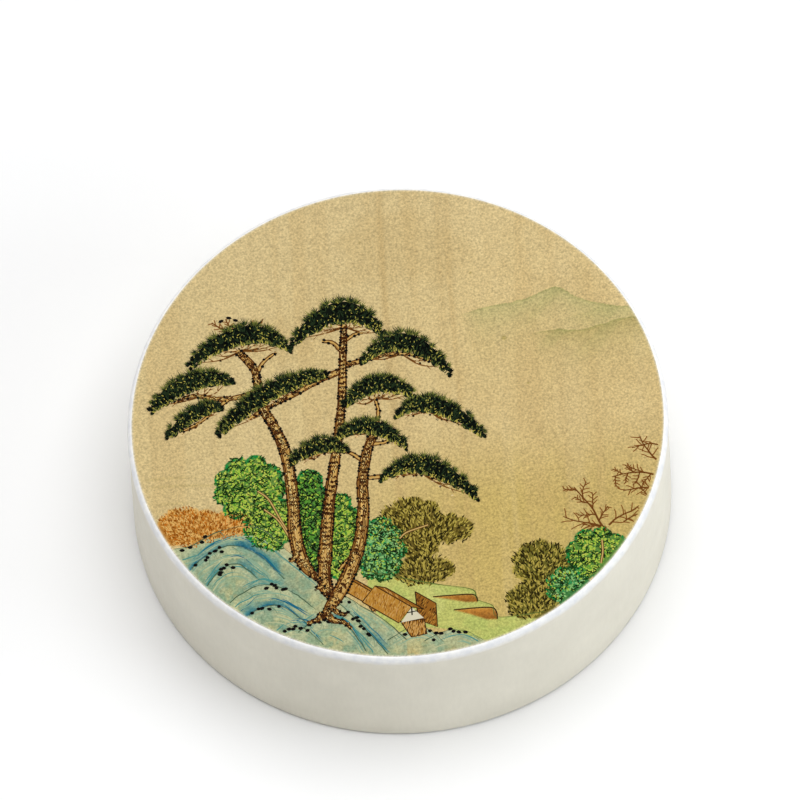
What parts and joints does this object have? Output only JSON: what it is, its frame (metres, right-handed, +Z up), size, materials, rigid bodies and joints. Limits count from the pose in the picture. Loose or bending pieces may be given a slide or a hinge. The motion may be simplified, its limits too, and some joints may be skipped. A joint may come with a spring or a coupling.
{
  "type": "ink stick",
  "caption": "Round ink stick, a pressed ink cake, in a low ivory lift-off lid case with a painted pine landscape on top and a silk-lined pocket inside.",
  "frame": {"origin": "on the underside, at the middle of the round base, where the case stands on a table", "axes": "+Z up through the lid; +X to the viewer's right and -Y towards the viewer who sees the picture upright, with a finger notch on each side along X"},
  "size_m": [0.07, 0.07, 0.0206],
  "materials": {
    "ivory_wrap": "satin",
    "picture": "matte",
    "lining_paper": "matte",
    "greyboard": "matte",
    "foam": "matte",
    "silk": "satin",
    "ink": "satin"
  },
  "bodies": {
    "base": {"base_ring": "greyboard", "base_board": "greyboard", "base_wrap": "ivory_wrap", "base_infill": "lining_paper", "base_paper": "lining_paper", "insert_floor_foam": "foam", "insert_collar_foam": "foam", "insert_silk": "silk"},
    "lid": {"lid_ring": "greyboard", "lid_wrap": "ivory_wrap", "lid_board": "greyboard", "lid_infill": "lining_paper", "picture_disc": "picture", "lid_lining": "lining_paper", "lid_skirt_lining": "lining_paper", "lid_pad_card": "greyboard", "lid_pad_foam": "foam", "lid_pad_silk": "silk"},
    "cake": {"ink_cake": "ink"}
  },
  "joints": [
    {"name": "lid_lift", "type": "slide", "parent": "base", "child": "lid", "axis": [0, 0, 1], "range_m": [0, 0.045]},
    {"name": "cake_lift", "type": "slide", "parent": "base", "child": "cake", "axis": [0, 0, 1], "range_m": [0, 0.018]}
  ],
  "couplings": [
    {"joint": "cake_lift", "follows": "lid_lift", "ratio": 0.4}
  ]
}
